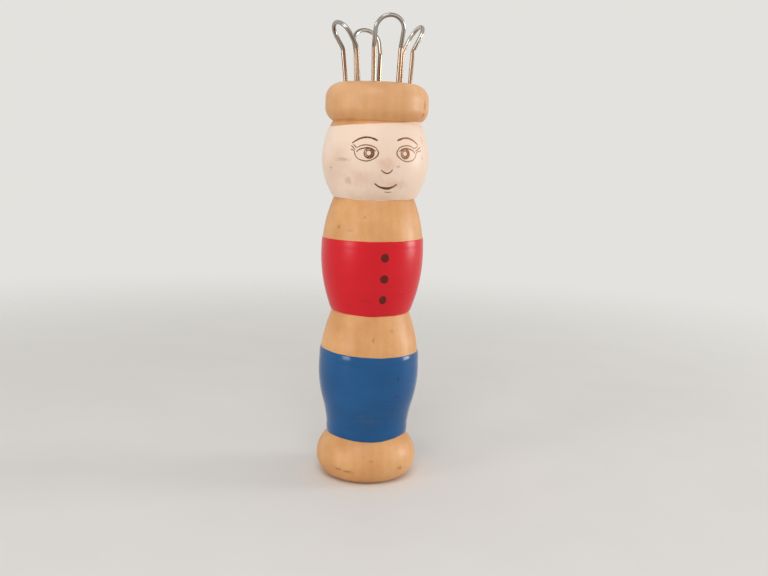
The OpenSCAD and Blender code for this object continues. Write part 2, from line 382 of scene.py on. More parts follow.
wood_marks = [
    (-46, 4.3, 13.4, 1.8, 0.7, "#6B4426", 0.5),
    (-34, 4.0, 13.4, 2.4, 0.6, "#6B4426", 0.55),
    (30, 4.5, 13.5, 1.4, 0.8, "#7A5030", 0.5),
    (-7, 7.2, 13.3, 0.8, 0.7, "#9A6A3E", 0.4),
    (-57, 68.3, 12.9, 0.9, 0.7, "#8A5C34", 0.55),
    (-24, 71.1, 12.2, 0.7, 0.5, "#8A5C34", 0.45),
    (-40, 67.6, 13.0, 1.5, 0.5, "#A0703F", 0.4),
    (-9, 39.4, 12.3, 0.5, 1.4, "#9A6434", 0.5),
    (16, 41.6, 11.8, 1.3, 0.9, "#B07840", 0.4),
    (51, 99.6, 13.4, 1.0, 1.8, "#A8502E", 0.75),
    (50, 97.2, 13.1, 1.4, 1.0, "#B4602E", 0.7),
    *worn_behind(4, 3, 8, 13.4, "#7A5030"),
    *worn_behind(2, 38, 43, 12.2, "#8A5C34"),
    *worn_behind(2, 67, 72, 12.6, "#8A5C34"),
    *worn_behind(3, 98, 102, 13.4, "#A8602E"),
]
print(len(wood_marks), "marks on the wood")

# %% [markdown]
# ## Beech, turned and thinly varnished
# Beech is a pale, close wood. Its pores are too fine to see, and the eye finds a soft patchiness, faint
# growth rings and many short dark flecks, which run up the stick because the doll is turned along the
# grain. Years of hands leave smudges on the foot and the cap. A solid pattern on Object coordinates is
# used, because it runs right through the turning as grain does, and shows on its ends too.

# %% Beech
# A wave texture of this scale repeats once in each millimetre
one_wave = pi / 10


def turned_beech():
    """Beech from the lathe under a thin satin varnish: soft, warm and a little patchy."""
    material, shader, add = open_material("beech_turned_satin_varnish")
    place = in_millimetres(add)
    # Patches of about 9 mm, between a deeper and a paler beech
    patch = add(NOISE, {"Vector": place, "Scale": 1 / 9, "Detail": 4.0})
    pale = add(RANGE, {"Value": patch, "From Min": 0.32, "From Max": 0.68})
    # Growth rings 2.4 mm apart round a pith that lies outside the stick
    pith = add("ShaderNodeMapping", {"Vector": place, "Location": (31, 12, 0)})
    ring = {"Vector": pith, "Scale": one_wave / 2.4, "Distortion": 1.6, "Detail Scale": 0.4}
    rings = add("ShaderNodeTexWave", ring, wave_type="RINGS", rings_direction="Z")
    late = add(RANGE, {"Value": rings.outputs["Fac"], "To Max": 0.14})
    # Fibres 0.3 mm wide and a few millimetres long
    drawn = add(VECTOR, {0: place, 1: (1, 1, 1 / 12)}, "MULTIPLY")
    fibres = add(NOISE, {"Vector": drawn, "Scale": 1 / 0.3})
    streak = add(RANGE, {"Value": fibres, "From Min": 0.3, "From Max": 0.7, "To Max": 0.16})
    # Ray flecks, drawn half as fine as they are so that they still show: 0.5 mm wide, 2 mm long
    cells = add(VECTOR, {0: place, 1: (1 / 0.7, 1 / 0.7, 1 / 2.6)}, "MULTIPLY")
    rays = add("ShaderNodeTexVoronoi", {"Vector": cells, "Scale": 1.0})
    fleck = {"Value": rays.outputs["Distance"], "From Min": 0.34, "From Max": 0.12, "To Max": 0.11}
    flecks = add(RANGE, fleck, **SOFT)
    # The cap is painted paler towards its top: a painted highlight of the light from above
    level = add(SPLIT, {0: place}).outputs["Z"]
    rubbed = add(RANGE, {"Value": level, "From Min": cap_z + 1, "From Max": cap_z + 7, "To Max": 0.18})
    # Raised fibres and the faint rings that the gouge leaves every 0.6 mm
    tool = {"Vector": place, "Scale": one_wave / 0.6, "Distortion": 1.0}
    gouge = add("ShaderNodeTexWave", tool, bands_direction="Z")
    rough = add(MATH, {0: gouge.outputs["Fac"], 1: 0.3, 2: fibres}, "MULTIPLY_ADD")
    fill(shader, {
        "Base Color": layered(add, "#D3955B", [
            (pale, "#E6AF76"),
            (late, "#C4884E"),
            (streak, "#C68A52"),
            (flecks, "#A66B3A"),
            # Painted highlight: the cap paler towards its top
            (rubbed, "#F0C9A4"),
            *marks_on(add, place, wood_marks),
        ]),
        "Roughness": add(RANGE, {"Value": fibres, "To Min": 0.36, "To Max": 0.56}),
        "IOR": 1.5,
        "Specular IOR Level": 0.35,
        "Coat Weight": 0.08,
        "Coat Roughness": 0.3,
        "Normal": add(BUMP, {"Height": rough, "Strength": 0.25, "Distance": 0.04 * MM}),
    })
    return material


beech = turned_beech()
print("material", beech.name, "with", len(beech.node_tree.nodes), "nodes")

# %% [markdown]
# ## Wire that follows a path
# Each loop is a hairpin of round wire: two legs that open a little from each other, a knee where the
# loop folds outwards, and a round crown. A path like this is easiest to walk: step forward, twist, bend,
# and note each place. A tree then sweeps a circle along the walk, and it makes the drills for the legs'
# holes in the cap too.

# %% Walk along the loops
wire_r = 0.55
wire_sides = 20
loop_ring = 7.75
leg_gap = 6.4
leg_splay = 1.8
leg_depth = 9.0
leg_room = 0.02
knee_reach = 8.5
knee_round = 2.6
crown_reach = 3.6
bend_step = 4.0
loops = {
    "front_loop": dict(turn=1.5, lean=1.5, fold=21.5, more=0.7),
    "right_loop": dict(turn=97.5, lean=2, fold=27.5, more=0.2),
    "back_loop": dict(turn=187, lean=2, fold=25, more=-0.5),
    "left_loop": dict(turn=288, lean=6.5, fold=34, more=-0.3),
}


def leg_mouth(loop, side):
    """The mouth of a leg's hole on the cap's top, with Z along the leg."""
    quarter = turned(loop["turn"], "Z") @ Matrix.Translation((0, -loop_ring, doll_h))
    leaning = Matrix.Translation((side * leg_gap / 2, 0, 0)) @ turned(loop["lean"], "X")
    return quarter @ leaning @ turned(side * leg_splay, "Y")


def walk(start, moves):
    """Places along a wire that runs, twists about itself and bends towards its own -Y."""
    here = start
    places = [here.translation.copy()]
    for move, size, radius in moves:
        if move == "twist":
            here = here @ turned(size, "Z")
            continue
        steps = ceil(size / bend_step) if move == "bend" else 1
        for _ in range(steps):
            if move == "bend":
                aside = Matrix.Translation((0, -radius, 0))
                here = here @ aside @ turned(size / steps, "X") @ aside.inverted()
            else:
                here = here @ Matrix.Translation((0, 0, size))
            places.append(here.translation.copy())
    return places


def hairpin(loop):
    """Places along the middle of a loop's wire, from one foot over the crown to the other."""
    splay = radians(leg_splay)
    fold = radians(loop["fold"] - loop["lean"])
    knee_turn = acos(sin(splay) ** 2 + cos(splay) ** 2 * cos(fold))
    knee_take = knee_round * tan(knee_turn / 2)
    twist = degrees(atan(sin(splay) * tan(fold / 2)))
    above_knee = crown_reach + loop["more"]
    crown_r = (leg_gap / 2 + (knee_reach + above_knee) * sin(splay)) / cos(splay)
    leg = ("run", leg_depth + knee_reach - knee_take, 0)
    upper = ("run", above_knee - knee_take, 0)
    knee = ("bend", degrees(knee_turn), knee_round)
    crown = [("twist", -90, 0), ("bend", 180 + 2 * leg_splay, crown_r), ("twist", 90, 0)]
    up = [leg, ("twist", twist, 0), knee, ("twist", twist, 0), upper]
    down = [upper, ("twist", -twist, 0), knee, ("twist", -twist, 0), leg]
    return walk(leg_mouth(loop, 1) @ Matrix.Translation((0, 0, -leg_depth)), up + crown + down)


paths = {name: hairpin(loop) for name, loop in loops.items()}
for name, path in paths.items():
    print(name, len(path), "places, top at", round(max(p.z for p in path) + wire_r, 2), "mm")

# %% Sweep a circle along a walk
wire_tree, given, add = open_tree("swept_wire", Float=["Wire Radius"], Int=["Sides"], Material=["Material"])
wire_ring = add(CIRCLE, {"Resolution": given["Sides"], "Radius": given["Wire Radius"]})
marked = []
for curve, label, measure in ((given["Geometry"], "along", "Length"), (wire_ring, "around", "Factor")):
    measured = add("GeometryNodeSplineParameter").outputs[measure]
    noted = {0: curve, "Name": label, "Value": measured}
    marked.append(add("GeometryNodeStoreNamedAttribute", noted))
swept = {"Curve": marked[0], "Profile Curve": marked[1], "Fill Caps": True}
close_tree(add, add(SWEEP, swept), given["Material"])


def sweep(name, places, radius, material):
    """One round rod along each list of places."""
    curve = draw_curve(name + "_path", [(points, [1.0] * len(points)) for points in places])
    values = {"Wire Radius": radius * MM, "Sides": wire_sides, "Material": material}
    return grow(name, wire_tree, values, curve)


drill_over = 2.0
mouths = [leg_mouth(loop, side) for loop in loops.values() for side in (-1, 1)]
drill_runs = [[mouth @ Vector((0, 0, z)) for z in (-leg_depth, drill_over)] for mouth in mouths]
drills = sweep("leg_drills", drill_runs, wire_r + leg_room, beech)
print(len(drill_runs), "drills for the legs")

# %% [markdown]
# ## Turning the wood
# A turning follows a rule, so a tree makes it: the outline is swept round a circle as wide as the bore,
# the surface gets the slight waves that sanding by hand leaves and some dents from years of play, and
# the drills take out the legs' holes. The dents are a cloud of points, and each vertex sinks by how near
# the nearest one is.

# %% Turn the wood
lathe_tree, given, add = open_tree(
    "turned_on_a_lathe",
    Float=["Bore Radius", "Wave Height", "Wave Length", "Dent Width", "Dent Depth", "Seed"],
    Int=["Around"],
    Object=["Dents", "Drills"],
    Material=["Material"],
)
flat_base = 0.5 * MM
bore_ring = add(CIRCLE, {"Resolution": given["Around"], "Radius": given["Bore Radius"]})
turning = add(SWEEP, {"Curve": bore_ring, "Profile Curve": given["Geometry"]})
place = add(PLACE)
normal = add("GeometryNodeInputNormal")
often = add(MATH, {0: 1.0, 1: given["Wave Length"]}, "DIVIDE")
wave = {"Vector": place, "Scale": often, "W": given["Seed"], "Detail": 1.0}
waves = add(NOISE, wave, noise_dimensions="4D")
centred = add(MATH, {0: waves, 1: 0.5}, "SUBTRACT")
swing = add(MATH, {0: centred, 1: given["Wave Height"]}, "MULTIPLY")
dents = add(OTHER, {"Object": given["Dents"]}).outputs["Geometry"]
near = {0: dents, "Sample Position": place}
nearest = add("GeometryNodeProximity", near, target_element="POINTS").outputs["Distance"]
hollow = {"Value": nearest, "From Max": given["Dent Width"], "To Min": given["Dent Depth"], "To Max": 0.0}
sunk = add(RANGE, hollow, **SOFT)
moved = add(MATH, {0: swing, 1: sunk}, "SUBTRACT")
shift = add(VECTOR, {0: normal, "Scale": moved}, "SCALE")
height = add(SPLIT, {0: place}).outputs["Z"]
off_floor = add(MATH, {0: height, 1: flat_base}, "GREATER_THAN")
worn = add(MOVE, {0: turning, "Selection": off_floor, "Offset": shift})
bits = add(OTHER, {"Object": given["Drills"]}).outputs["Geometry"]
drilled = add("GeometryNodeMeshBoolean", {0: worn, 1: bits}, "DIFFERENCE", solver="EXACT")
close_tree(add, drilled, given["Material"])

dent_draw = random.Random(7).uniform
dents_each = 9
dent_spots = [
    (52, 99.2, 13.4), (54, 97.4, 13.1), (49, 100.8, 13.4), (-46, 4.0, 13.4),
    (31, 4.6, 13.5), (18, 42.0, 11.7), (14, 40.9, 12.0),
]
for low, high, radius in [(1.0, 9.0, 13.6), (36.0, 43.5, 12.3), (66.0, 73.0, 12.4), (97.0, 102.5, 13.4)]:
    for _ in range(dents_each):
        dent_spots.append((dent_draw(-180, 180), dent_draw(low, high), radius))
dent_mesh = bpy.data.meshes.new("dent_points")
dent_mesh.from_pydata([Vector(round_about(*spot)) * MM for spot in dent_spots], [], [])
dent_points = put("dent_points", dent_mesh)

# The outline is measured from the bore's wall, and the sweep takes its Y downwards
wall = [(r - bore_r, -z, 0) for r, z in outline]
lathe_curve = draw_curve("outline", [(wall, [1.0] * len(wall))], closed=True)
wood = grow("turned_wood", lathe_tree, {
    "Bore Radius": bore_r * MM,
    "Around": 180,
    "Wave Height": 0.1 * MM,
    "Wave Length": 9 * MM,
    "Dents": dent_points,
    "Dent Width": 0.9 * MM,
    "Dent Depth": 0.12 * MM,
    "Drills": drills,
    "Seed": 3.0,
    "Material": beech,
}, lathe_curve)
for helper in (drills, dent_points):
    bpy.data.objects.remove(helper)
finish_piece(wood, "turned_doll")

# %% [markdown]
# ## Laying paint and ink on the turning
# Paint and ink lie on the wood, so they are drawn flat first, as on a sheet of paper: X is the way
# round the doll, Y is the height and Z is how proud the film stands. One small group of nodes wraps the
# sheet round the doll. It casts a ray from outside towards the axis, takes the place where the ray meets
# the wood and lifts it by Z, so every film follows each wave and dent under it.

# %% A group that wraps a sheet round the wood
sheet_r = head_crest[0]
ray_start = 40 * MM
lay_tree, given, add = open_tree("laid_on_the_turning", Object=["Surface"], Float=["Sheet Radius", "Under"])
flat = add(SPLIT, {0: add(PLACE)}).outputs
turn = add(MATH, {0: flat["X"], 1: given["Sheet Radius"]}, "DIVIDE")
sideways = add(MATH, {0: turn}, "SINE")
forwards = add(MATH, {0: turn}, "COSINE")
front = add(MATH, {0: forwards, 1: -1.0}, "MULTIPLY")
outward = add(JOIN, {"X": sideways, "Y": front})
level = add(JOIN, {"Z": flat["Y"]})
outside = add(VECTOR, {0: outward, 1: (ray_start,) * 3, 2: level}, "MULTIPLY_ADD")
inward = add(VECTOR, {0: outward, "Scale": -1.0}, "SCALE")
cast = {
    "Target Geometry": add(OTHER, {"Object": given["Surface"]}).outputs["Geometry"],
    "Source Position": outside,
    "Ray Direction": inward,
    "Ray Length": ray_start,
}
landed = add("GeometryNodeRaycast", cast).outputs["Hit Position"]
proud = add(MATH, {0: flat["Z"], 1: given["Under"]}, "ADD")
lift = add(VECTOR, {0: outward, "Scale": proud}, "SCALE")
laid_place = add(VECTOR, {0: landed, 1: lift}, "ADD")
laid = add(MOVE, {0: given["Geometry"], "Position": laid_place})
add("NodeGroupOutput", {0: laid})
print("the sheet is measured round a radius of", round(sheet_r, 2), "mm")


def lay_on(add, geometry, surface, under=0.0):
    """The wrapping group, as one node of another tree."""
    sheet = {"Geometry": geometry, "Surface": surface, "Sheet Radius": sheet_r * MM, "Under": under}
    return add("GeometryNodeGroup", sheet, node_tree=lay_tree)


# %% [markdown]
# ## Brushed paint
# The coats are gloss enamel, brushed on while the doll turned, so the brush left fine streaks round it.
# Enamel is smooth and mirrors the lamps softly. The white coat looks the oldest: it has yellowed to
# cream, and handling has left grey smudges on a cheek. The left side of the face and the chin are also
# painted darker as painted shade, and the skirt has a painted reflection low at the front. One function
# mixes all three, because they differ only in colour, gloss and marks.

# %% Brushed paint
gloss_swing = 0.06


def brushed_enamel(name, deep, light, roughness, marks):
    """Enamel brushed on the turning doll: fine streaks round it, an even gloss, small stains and painted
    light.
    """
    material, shader, add = open_material(name)
    place = in_millimetres(add)
    # Brush streaks 0.6 mm high that run far round the doll
    round_doll = add(VECTOR, {0: place, 1: (1 / 16, 1 / 16, 1 / 0.6)}, "MULTIPLY")
    streaks = add(NOISE, {"Vector": round_doll, "Scale": 1.0, "Detail": 3.0})
    # Thicker and thinner paint in patches of about 12 mm
    patch = add(NOISE, {"Vector": place, "Scale": 1 / 12, "Detail": 3.0})
    both = add(MATH, {0: streaks, 1: 0.25, 2: patch}, "MULTIPLY_ADD")
    spread = add(RANGE, {"Value": both, "From Min": 0.35, "From Max": 0.9})
    # Dust specks 0.4 mm wide under the last coat, and the streaks' own relief
    dust = add(NOISE, {"Vector": place, "Scale": 1 / 0.4, "Detail": 1.0})
    rough = add(MATH, {0: dust, 1: 0.35, 2: streaks}, "MULTIPLY_ADD")
    gloss = {"Value": streaks, "To Min": roughness - gloss_swing, "To Max": roughness + gloss_swing}
    fill(shader, {
        "Base Color": layered(add, deep, [(spread, light), *marks_on(add, place, marks)]),
        "Roughness": add(RANGE, gloss),
        "IOR": 1.5,
        "Specular IOR Level": 0.3,
        "Normal": add(BUMP, {"Height": rough, "Strength": 0.1, "Distance": 0.05 * MM}),
    })
    return material


white_marks_and_shade = [
    # The broad soft patch over the left side of the face is painted shade
    (-62, 83.5, 13.8, 10.0, 8.0, "#D8B498", 0.4),
    # The long soft patch low on the chin is painted shade, where the head turns in under
    (-12, 75.4, 11.3, 14.0, 4.0, "#CDA98E", 0.3),
    (-50, 85.4, 14.0, 3.6, 0.8, "#A4876E", 0.5),
    (-68, 83.2, 13.8, 0.7, 0.5, "#8A6E5C", 0.55),
    (-44, 80.2, 13.1, 1.6, 1.6, "#BF9C84", 0.45),
    (-25, 80.6, 13.3, 6.0, 3.0, "#DCAC94", 0.4),
    (-1, 84.2, 13.9, 3.6, 2.6, "#DFA98E", 0.45),
    (10, 79.6, 13.0, 5.0, 2.0, "#D8A890", 0.4),
    (11, 84.0, 13.9, 0.9, 0.4, "#A4846C", 0.5),
    (48, 90.8, 13.2, 0.7, 1.8, "#DBA080", 0.5),
    (45, 86.3, 13.9, 0.6, 0.9, "#B98E74", 0.5),
    *worn_behind(5, 79, 91, 13.7, "#B4967E"),
]
blue_marks_and_reflection = [
    (22, 29.2, 13.6, 0.5, 1.0, "#16304E", 0.65),
    (22, 24.2, 13.4, 2.2, 0.7, "#1A3A60", 0.5),
    # A paler grey-blue patch low on the front of the skirt is a painted reflection
    (-14, 17.5, 12.2, 5.0, 2.4, "#3A5478", 0.35),
    *worn_behind(4, 22, 34, 13.4, "#1A3A60"),
]
red_marks = [
    (-20, 49.5, 11.6, 2.2, 0.6, "#9E1822", 0.4),
    *worn_behind(3, 54, 66, 13.5, "#9E1822"),
]
white_enamel = brushed_enamel("enamel_cream_white_brushed", "#F0D2BB", "#F6DECA", 0.42, white_marks_and_shade)
red_enamel = brushed_enamel("enamel_red_brushed_gloss", "#CE0A1C", "#DB1224", 0.3, red_marks)
blue_enamel = brushed_enamel("enamel_blue_brushed_gloss", "#114B7C", "#1B5A90", 0.18, blue_marks_and_reflection)
print("materials", white_enamel.name, red_enamel.name, blue_enamel.name)

# %% [markdown]
# ## A coat of paint as a flat ring
# A coat is a very flat ring: its outside stands a film's thickness proud, its inside is sunk in the
# wood, and it rounds over at both edges. A grid can be bent into that: one way across it goes round the
# doll, and the other goes up the outside and down the inside. Each edge leans and sags a little, as a
# brush held by hand leaves it, and noise read on a circle, which has no seam, moves it up and down. Just
# inside each edge the paint has gathered in a low ridge that catches the light.

# %% Coats of paint
coat_edges = ("Low", "High")
edge_sizes = ("", " Lean", " Towards", " Sag", " Waves")
coat_tree, given, add = open_tree(
    "brushed_coat",
    Float=[
        *[edge + size for edge in coat_edges for size in edge_sizes],
        "Sag Towards", "Ceiling", "Wander", "Wander Often", "Film", "Bead", "Streak", "Streak Height", "Seed",
    ],
    Int=["Around", "Across"],
    Object=["Surface"],
    Material=["Material"],
)
edge_crispness = 7.0
ridge_from = 0.78
seam_gap = 0.002 * MM
full_turn = 2 * pi
grid = add("GeometryNodeMeshGrid", {
    "Size X": full_turn, "Size Y": full_turn, "Vertices X": given["Around"], "Vertices Y": given["Across"],
})
flat = add(SPLIT, {0: add(PLACE)}).outputs
turn, loop_turn = flat["X"], flat["Y"]
sideways = add(MATH, {0: turn}, "SINE")
forwards = add(MATH, {0: turn}, "COSINE")
circle = add(JOIN, {"X": sideways, "Y": forwards})
off_sag = add(MATH, {0: turn, 1: given["Sag Towards"]}, "SUBTRACT")
edges = []
for step, edge in zip((0.0, 10.0), coat_edges):
    draw = add(MATH, {0: given["Seed"], 1: step}, "ADD")
    wander = {"Vector": circle, "W": draw, "Scale": given["Wander Often"]}
    noise = add(NOISE, wander, noise_dimensions="4D")
    centred = add(MATH, {0: noise, 1: 0.5}, "SUBTRACT")
    wandered = add(MATH, {0: centred, 1: given["Wander"], 2: given[edge]}, "MULTIPLY_ADD")
    off_lean = add(MATH, {0: turn, 1: given[edge + " Towards"]}, "SUBTRACT")
    leaning = add(MATH, {0: off_lean}, "COSINE")
    tilted = add(MATH, {0: leaning, 1: given[edge + " Lean"], 2: wandered}, "MULTIPLY_ADD")
    wave_turn = add(MATH, {0: off_sag, 1: given[edge + " Waves"]}, "MULTIPLY")
    waves = add(MATH, {0: wave_turn}, "COSINE")
    hang = add(MATH, {0: waves, 1: given[edge + " Sag"]}, "MULTIPLY")
    edges.append(add(MATH, {0: tilted, 1: hang}, "SUBTRACT"))
low = edges[0]
high = add(MATH, {0: edges[1], 1: given["Ceiling"]}, "MINIMUM")
up = add(MATH, {0: loop_turn}, "COSINE")
height = add(RANGE, {"Value": up, "From Min": 1.0, "From Max": -1.0, "To Min": low, "To Max": high})
over = add(MATH, {0: loop_turn}, "SINE")
crisp = add(MATH, {0: over, 1: edge_crispness}, "MULTIPLY")
rounded = add(RANGE, {"Value": crisp, "From Min": -1.0, "To Min": -1.0})
streak_up = add(MATH, {0: height, 1: given["Streak Height"]}, "DIVIDE")
streak_place = add(JOIN, {"X": sideways, "Y": forwards, "Z": streak_up})
streak = {"Vector": streak_place, "W": given["Seed"], "Scale": 1.0}
streaks = add(NOISE, streak, noise_dimensions="4D")
brushed = add(MATH, {0: streaks, 1: given["Streak"], 2: given["Film"]}, "MULTIPLY_ADD")
near_edge = add(MATH, {0: up}, "ABSOLUTE")
ridge_turn = add(RANGE, {"Value": near_edge, "From Min": ridge_from, "To Max": pi})
ridge = add(MATH, {0: ridge_turn}, "SINE")
thick = add(MATH, {0: ridge, 1: given["Bead"], 2: brushed}, "MULTIPLY_ADD")
film = add(MATH, {0: rounded, 1: thick}, "MULTIPLY")
wide = add(MATH, {0: turn, 1: sheet_r * MM}, "MULTIPLY")
drawn = add(JOIN, {"X": wide, "Y": height, "Z": film})
flat_coat = add(MOVE, {0: grid, "Position": drawn})
laid_coat = lay_on(add, flat_coat, given["Surface"])
sealed = add("GeometryNodeMergeByDistance", {0: laid_coat, "Distance": seam_gap})
close_tree(add, sealed, given["Material"])


def brush_coat(name, node, material, low, high, wander, bead, seed):
    """A coat between two edges: a height, a lean and the angle it leans up towards, a sag and its waves."""
    values = {
        "Surface": wood,
        "Sag Towards": radians(-9),
        "Ceiling": (cap_z + 1.7) * MM,
        "Wander": wander * MM,
        "Wander Often": 2.2,
        "Film": (coat - 0.02) * MM,
        "Bead": bead * MM,
        "Streak": 0.008 * MM,
        "Streak Height": 1.2 * MM,
        "Around": 241,
        "Across": 181,
        "Seed": seed,
        "Material": material,
    }
    for edge, (height, lean, towards, sag, waves) in zip(coat_edges, (low, high)):
        sizes = height * MM, lean * MM, radians(towards), sag * MM, waves
        values.update({edge + label: size for label, size in zip(edge_sizes, sizes)})
    finish_piece(grow(name, coat_tree, values), node)


brush_coat(
    "white_coat", "head_paint", white_enamel,
    low=(neck_z, 0.1, 40, 0.2, 2.0),
    high=(white_top + 0.45, 0.95, 75, 0.0, 2.0),
    wander=0.4, bead=0.03, seed=1.0,
)
brush_coat(
    "red_coat", "jacket_paint", red_enamel,
    low=(belt_z + 0.18, 0.0, 0, 0.18, 2.0),
    high=(red_top + 0.2, 0.2, 85, 0.0, 2.0),
    wander=0.5, bead=0.04, seed=4.0,
)
brush_coat(
    "blue_coat", "skirt_paint", blue_enamel,
    low=(waist_z + 0.25, 0.1, 62, 0.24, 3.0),
    high=(blue_top + 0.15, 0.28, -95, 0.12, 2.0),
    wander=0.5, bead=0.1, seed=7.0,
)

# %% [markdown]
# ## Button dots
# Three dots of thick dark enamel were set down the front with the end of a stick. Each is a small dome,
# no two quite alike. One flattened ball is placed on a row of points, with a random size from a fixed
# seed, and the wrapping group lays the row on the red coat.


# %% Button dots
def dotted_enamel():
    """Thick enamel dots: nearly black with a red cast, and glossy because each drop levelled itself."""
    material, shader, add = open_material("enamel_black_dotted")
    # Thicker and thinner paint in patches of 0.8 mm
    patch = add(NOISE, {"Vector": in_millimetres(add), "Scale": 1 / 0.8})
    fill(shader, {
        "Base Color": layered(add, "#54120A", [(patch, "#742414")]),
        "Roughness": 0.35,
        "IOR": 1.5,
        "Specular IOR Level": 0.2,
    })
    return material


dot_tree, given, add = open_tree(
    "row_of_dots",
    Float=["Width", "Dome", "Uneven"],
    Vector=["First", "Step"],
    Int=["Count", "Seed"],
    Object=["Surface"],
    Material=["Material"],
)
blob_size = 0.9 * MM
row = {"Count": given["Count"], "Start Location": given["First"], "Offset": given["Step"]}
dot_row = add("GeometryNodeMeshLine", row)
half = add(MATH, {0: given["Width"], 1: 0.5}, "MULTIPLY")
ball = add("GeometryNodeMeshUVSphere", {"Segments": 40, "Rings": 24, "Radius": 1.0})
flattened = add(JOIN, {"X": half, "Y": half, "Z": given["Dome"]})
drop = add("GeometryNodeTransform", {0: ball, "Scale": flattened})
spread = {0: (1.0, 1.0, 0.9), 1: (1.06, 1.06, 1.1), "Seed": given["Seed"]}
dot_size = add("FunctionNodeRandomValue", spread, data_type="FLOAT_VECTOR")
dots = add("GeometryNodeInstanceOnPoints", {"Points": dot_row, "Instance": drop, "Scale": dot_size})
real_dots = add("GeometryNodeRealizeInstances", {0: dots})
blob = add(NOISE, {"Vector": add(PLACE), "Scale": 1 / blob_size, "Detail": 1.0})
centred = add(VECTOR, {0: blob.outputs["Color"], 1: (0.5,) * 3}, "SUBTRACT")
uneven = add(VECTOR, {0: centred, "Scale": given["Uneven"]}, "SCALE")
shaped = add(MOVE, {0: real_dots, "Offset": uneven})
close_tree(add, lay_on(add, shaped, given["Surface"]), given["Material"])


def on_sheet(angle, height, proud=0.0):
    """A place on the flat sheet, from an angle off the front and a height."""
    return Vector((radians(angle) * sheet_r, height, proud))


first_dot = on_sheet(0.4, 61.05, coat)
last_dot = on_sheet(1.2, 50.0, coat)
dot_count = 3
buttons = grow("button_drops", dot_tree, {
    "Surface": wood,
    "Count": dot_count,
    "First": first_dot * MM,
    "Step": (last_dot - first_dot) / (dot_count - 1) * MM,
    "Width": 2.2 * MM,
    "Dome": 0.2 * MM,
    "Uneven": 0.09 * MM,
    "Seed": 5,
    "Material": dotted_enamel(),
})
finish_piece(buttons, "button_dots")

# %% [markdown]
# ## The drawn face
# The face is drawn on the white coat with a brown pen: brows, eyes with two lids and lashes, a nose, a
# mouth and a short line for the chin. Each line is a list of a few places that a smooth spline goes
# through, with a radius that swells where the pen was pressed. The brows' inner ends and the middle of
# the mouth were gone over twice. One eye is drawn and mirrored for the other. The tree sweeps a flat
# oval along every line, and the wrapping group lays them on the head.


# %% Pen ink
def pen_ink():
    """Brown pen ink, soaked into paint: dull, uneven, and paler where hands have rubbed it."""
    material, shader, add = open_material("ink_brown_pen")
    place = in_millimetres(add)
    # The pen skips over paint ridges about 0.5 mm apart
    skip = add(NOISE, {"Vector": place, "Scale": 1 / 0.5})
    # The doll's left side of the face is the more rubbed
    across = add(SPLIT, {0: place}).outputs["X"]
    rub = add(RANGE, {"Value": across, "From Min": 0.5, "From Max": 7.5, "To Max": 0.6})
    fade = add(MATH, {0: skip, 1: 0.6, 2: rub}, "MULTIPLY_ADD")
    pale = add(RANGE, {"Value": fade, "From Min": 0.2})
    fill(shader, {
        "Base Color": layered(add, "#6C3A16", [(pale, "#B67C4E")]),
        "Roughness": 0.6,
        "Specular IOR Level": 0.3,
    })
    return material


# %% Pen lines
pen_width = 0.27
pen_end = 0.62
left_eye = on_sheet(-23.6, 87.15)
right_eye = on_sheet(21.7, 87.3)
iris_aside = 0.74
iris_r = 1.32
light_r = 0.58
iris_rings = ((iris_r - 0.12, 0.7, 1.7), (light_r + 0.12, 0.5, 1.3))
iris_steps = 24
iris_strokes = 22
lash_root = -2.76
eye_lines = {
    "brow": (1.65, [
        (-3.8, 2.36), (-2.82, 3.01), (-1.84, 3.51), (-0.66, 3.83), (0.32, 3.88), (1.44, 3.72), (2.76, 3.2),
    ]),
    "brow end": (1.9, [(1.2, 3.76), (2.05, 3.5), (2.85, 3.16)]),
    "crease": (0.95, [
        (-2.36, 1.26), (-1.58, 1.7), (-0.78, 1.95), (0.32, 2.0), (1.32, 1.85), (2.36, 1.4), (2.76, 0.88),
    ]),
    "inner corner": (1.1, [(2.6, 1.1), (3.01, 0.5), (3.09, 0.1), (2.9, -0.55), (2.36, -1.08), (1.84, -1.45)]),
    "lower lid": (0.95, [
        (2.1, -1.3), (1.36, -1.65), (0.66, -1.88), (-0.14, -1.93), (-1.32, -1.7), (-2.04, -1.4),
    ]),
    "outer corner": (0.8, [(-1.88, -1.45), (-2.5, -0.98), (-2.8, -0.42), (-2.99, 0.19), (-3.03, 0.5)]),
    "upper lid": (1.2, [
        (2.4, 0.5), (1.84, 0.92), (1.32, 1.17), (0.52, 1.35),
        (-0.26, 1.26), (-1.32, 1.0), (-1.98, 0.69), (-2.44, 0.19),
    ]),
    "first lash": (0.85, [(-3.45, 2.08), (-2.93, 1.62), (-2.36, 1.26)]),
    "second lash": (0.9, [(-4.01, 1.76), (-3.34, 1.2), (-2.76, 0.69)]),
    "third lash": (0.75, [(-4.08, 0.85), (-3.5, 0.68), (-3.03, 0.45)]),
}
middle_lines = {
    "nose": (1.15, [(-7.2, 83.16), (-4.7, 82.6), (-0.8, 82.31), (2.5, 82.6), (4.9, 83.26)]),
    "mouth": (1.8, [(-13.7, 79.68), (-8.2, 78.88), (-0.1, 78.45), (6.4, 78.78), (12.1, 79.63)]),
    "lip": (2.5, [(-6.0, 78.74), (-2.6, 78.58), (0.7, 78.52), (4.1, 78.62), (7.4, 78.9)]),
    "chin": (0.62, [(-1.5, 77.62), (2.8, 77.54), (7.1, 77.62)]),
}


def pen_line(points, press):
    """A line's places and its pen radius at each: thin at both ends and full in the middle."""
    last = len(points) - 1
    radii = [pen_width / 2 * press * (pen_end + (1 - pen_end) * sin(pi * i / last)) for i in range(last + 1)]
    return points, radii


def ink_weight(turn):
    """How hard the iris was drawn at an angle from its top: full at the lower right, light at the left."""
    return 0.5 + 0.5 * cos(turn - radians(115))


